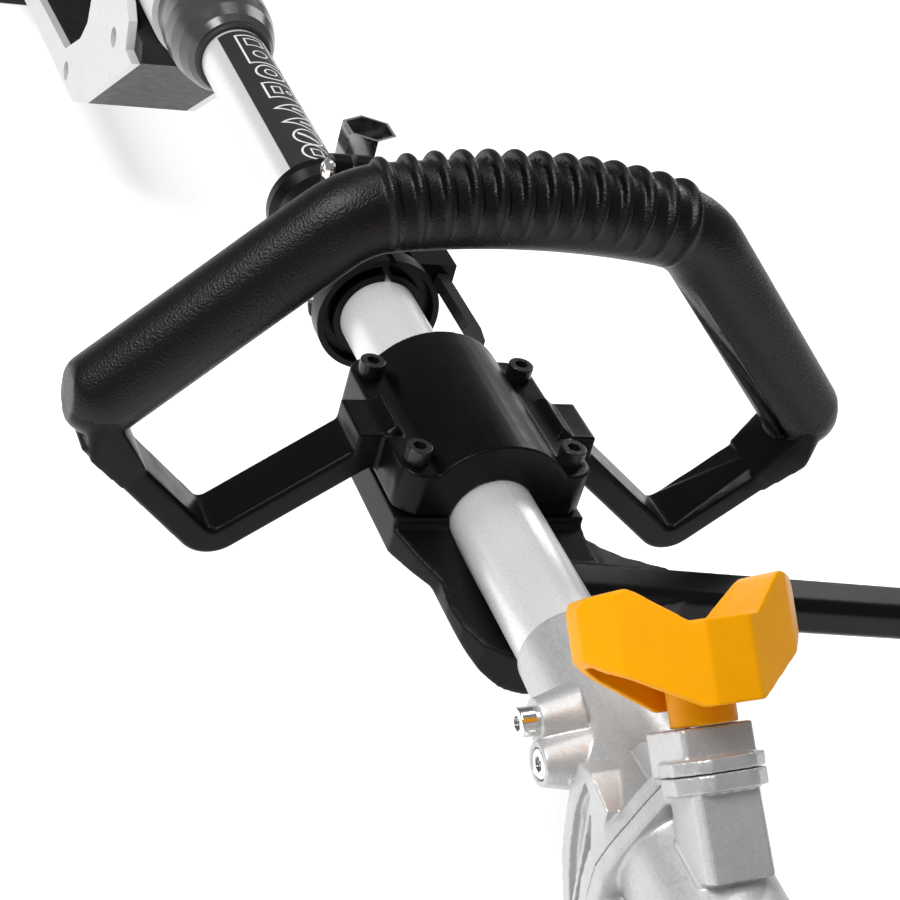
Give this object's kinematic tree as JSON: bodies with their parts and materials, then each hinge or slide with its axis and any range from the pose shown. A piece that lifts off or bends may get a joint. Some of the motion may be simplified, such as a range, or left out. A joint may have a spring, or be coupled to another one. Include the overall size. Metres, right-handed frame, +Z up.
{
  "type": "string trimmer",
  "caption": "Folding-shaft battery string trimmer with loop handle, barrier bar, wing-knob fold joint, rear D-grip, guard and bump-feed line head.",
  "frame": {"origin": "centre of the harness eye's hole, 140 mm behind the loop-handle clamp and 30 mm below the shaft axis", "axes": "+X forward along the shaft to the cutting head, +Y to the operator's left, +Z up"},
  "size_m": [1.8269, 0.3962, 0.2498],
  "materials": {
    "tube_silver": "satin silver paint",
    "label_black": "printed film",
    "black_plastic": "fine moulded grain",
    "dark_grey_plastic": "moulded grain",
    "white_plastic": "semi-gloss",
    "yellow_plastic": "semi-gloss",
    "cast_aluminium": "painted casting",
    "steel_zinc": "bright zinc plate",
    "steel_dark": "blackened steel",
    "steel_plain": "machined",
    "rubber": "matt",
    "nylon_white": "satin",
    "copper_red": "enamelled winding",
    "board_green": "coated board",
    "line_yellow": "extruded nylon"
  },
  "bodies": {
    "powerhead": {"upper_tube": "tube_silver", "pictogram_label": "label_black", "upper_shaft_bushes": "nylon_white", "harness_clamp": "black_plastic", "harness_clamp_screw": "steel_zinc", "harness_eye": "steel_zinc", "spanner_socket": "steel_zinc", "spanner_bar": "steel_dark", "upper_joint_casting": "cast_aluminium", "upper_joint_screws": "steel_zinc", "hinge_pin": "steel_plain", "housing_left": "dark_grey_plastic", "housing_right": "dark_grey_plastic", "side_cover_left": "white_plastic", "side_cover_right": "white_plastic", "housing_screws": "steel_zinc", "front_collar_left": "dark_grey_plastic", "front_collar_right": "dark_grey_plastic", "collar_ring": "rubber", "motor_stator": "copper_red", "motor_bearings": "steel_plain", "control_board": "board_green", "terminal_block": "dark_grey_plastic", "trigger_spring": "steel_plain", "trigger_switch": "black_plastic"},
    "handle": {"loop_handle": "black_plastic", "barrier_bar": "black_plastic", "handle_screws": "steel_dark", "handle_nuts": "steel_zinc"},
    "lower_shaft": {"lower_joint_casting": "cast_aluminium", "lower_tube": "tube_silver", "lower_shaft_bushes": "nylon_white", "lower_clamp_screws": "steel_zinc", "gear_head": "cast_aluminium", "gear_head_bearings": "steel_plain", "guard": "black_plastic", "guard_screws": "steel_zinc", "line_cutter": "steel_plain"},
    "bolt": {"lock_bolt": "steel_zinc"},
    "knob": {"lock_knob": "yellow_plastic"},
    "motor_drive": {"motor_rotor": "steel_plain", "motor_fan": "dark_grey_plastic", "upper_drive_shaft": "steel_plain", "upper_coupling": "steel_plain"},
    "lower_drive": {"lower_coupling": "steel_plain", "lower_drive_shaft": "steel_plain", "pinion": "steel_plain"},
    "cutting_head": {"output_gear": "steel_plain", "output_shaft": "steel_plain", "head_housing": "black_plastic", "head_cap": "dark_grey_plastic", "line_eyelets": "steel_plain", "head_spring": "steel_plain"},
    "spool": {"line_spool": "yellow_plastic", "trimmer_line": "line_yellow"},
    "battery": {"battery_pack": "dark_grey_plastic"},
    "latch": {"battery_latch": "yellow_plastic"},
    "trigger_lever": {"trigger": "black_plastic"},
    "lock_off": {"lock_off_button": "black_plastic"}
  },
  "joints": [
    {"name": "fold", "type": "hinge", "parent": "powerhead", "child": "lower_shaft", "pos_m": [0.315, 0.00463, -0.00772], "axis": [0, 0.9925, 0.1219], "range_deg": [0, 150]},
    {"name": "handle_slide", "type": "slide", "parent": "powerhead", "child": "handle", "axis": [1, 0, 0], "range_m": [-0.015, 0.008]},
    {"name": "knob_lift", "type": "slide", "parent": "powerhead", "child": "bolt", "axis": [-0.7071, -0.0862, 0.7018], "range_m": [0, 0.0125]},
    {"name": "knob_turn", "type": "hinge", "parent": "bolt", "child": "knob", "pos_m": [0.32094, -0.00398, 0.0624], "axis": [-0.7071, -0.0862, 0.7018], "range_deg": [0, 3600]},
    {"name": "motor_spin", "type": "hinge", "parent": "powerhead", "child": "motor_drive", "pos_m": [0.14, 0, 0.03], "axis": [1, 0, 0], "continuous": true},
    {"name": "lower_shaft_spin", "type": "hinge", "parent": "lower_shaft", "child": "lower_drive", "pos_m": [0.44, 0, 0.03], "axis": [1, 0, 0], "continuous": true},
    {"name": "head_spin", "type": "hinge", "parent": "lower_shaft", "child": "cutting_head", "pos_m": [1.045, 0, 0.03], "axis": [0.5, 0, -0.866], "continuous": true},
    {"name": "bump_feed", "type": "slide", "parent": "cutting_head", "child": "spool", "axis": [-0.5, 0, 0.866], "range_m": [0, 0.0034], "stiffness_N_per_m": 900, "springref_m": -0.006, "deforming": ["head_spring"]},
    {"name": "battery_slide", "type": "slide", "parent": "powerhead", "child": "battery", "axis": [-1, 0, 0], "range_m": [0, 0.14]},
    {"name": "latch_press", "type": "slide", "parent": "battery", "child": "latch", "axis": [0, 0, -1], "range_m": [0, 0.004], "stiffness_N_per_m": 600, "springref_m": -0.003},
    {"name": "trigger_pull", "type": "hinge", "parent": "powerhead", "child": "trigger_lever", "pos_m": [-0.334, 0, 0.0135], "axis": [0, -1, 0], "range_deg": [0, 8], "stiffness_Nm_per_rad": 2, "springref_deg": -5.73, "deforming": ["trigger_spring"]},
    {"name": "lock_off_press", "type": "slide", "parent": "powerhead", "child": "lock_off", "axis": [0, 0, -1], "range_m": [0, 0.003], "stiffness_N_per_m": 500, "springref_m": -0.003}
  ],
  "couplings": [
    {"joint": "knob_lift", "follows": "knob_turn", "m_per_rad": 0.00019894},
    {"joint": "lower_shaft_spin", "follows": "motor_spin", "ratio": 1},
    {"joint": "head_spin", "follows": "motor_spin", "ratio": 0.71429}
  ]
}
